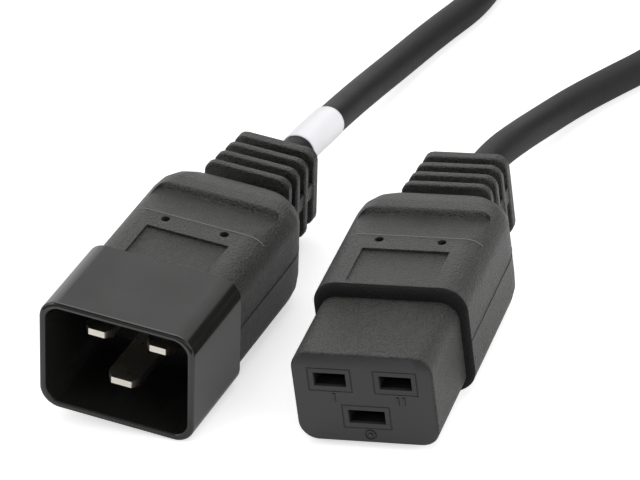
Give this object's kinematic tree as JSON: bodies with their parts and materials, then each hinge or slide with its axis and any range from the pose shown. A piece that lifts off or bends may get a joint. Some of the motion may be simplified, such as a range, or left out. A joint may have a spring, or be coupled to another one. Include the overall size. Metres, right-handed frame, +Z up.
{
  "type": "c19 power connector",
  "caption": "High-current appliance lead: overmoulded rectangular line connector with ribbed strain relief, round cord tied in a coil, and the flat-pin plug that mates with it.",
  "frame": {"origin": "under the middle of the connector's outline, on the surface it lies on", "axes": "+Z up, +Y along the connector from its mating face to its cord, +X to the right when looking along +Y"},
  "size_m": [0.1238, 0.268, 0.0282],
  "materials": {
    "connector_jacket": "fine-grained flexible PVC, matt",
    "connector_face": "smooth matt",
    "contacts": "bright",
    "strands": "bare copper",
    "insulation_brown": "satin",
    "insulation_blue": "satin",
    "insulation_green_yellow": "satin, two colours",
    "cord_jacket": "extruded PVC, satin",
    "plug_shroud": "hard plastic, polished",
    "pin_holder": "hard plastic, dark",
    "plug_jacket": "fine-grained flexible PVC, matt",
    "pins": "nickel plated, bright",
    "label": "white wrap-round film, blank",
    "tie": "black hook-and-loop strap"
  },
  "bodies": {
    "root": {"connector_housing": "connector_jacket", "connector_core": "connector_face", "connector_contact_line": "contacts", "connector_contact_neutral": "contacts", "connector_contact_earth": "contacts", "connector_strands_line": "strands", "plug_strands_line": "strands", "connector_strands_neutral": "strands", "plug_strands_neutral": "strands", "connector_strands_earth": "strands", "plug_strands_earth": "strands", "connector_wire_line": "insulation_brown", "plug_wire_line": "insulation_brown", "connector_wire_neutral": "insulation_blue", "plug_wire_neutral": "insulation_blue", "connector_wire_earth": "insulation_green_yellow", "plug_wire_earth": "insulation_green_yellow", "connector_cord_end": "cord_jacket", "plug_shroud": "plug_shroud", "plug_bridge": "pin_holder", "plug_housing": "plug_jacket", "plug_pin_line": "pins", "plug_pin_neutral": "pins", "plug_pin_earth": "pins", "plug_cord_end": "cord_jacket", "cord_connector_side": "cord_jacket", "cord_plug_side": "cord_jacket", "cord_coil": "cord_jacket", "cord_label": "label", "coil_tie_a": "tie", "coil_tie_b": "tie"}
  },
  "joints": []
}
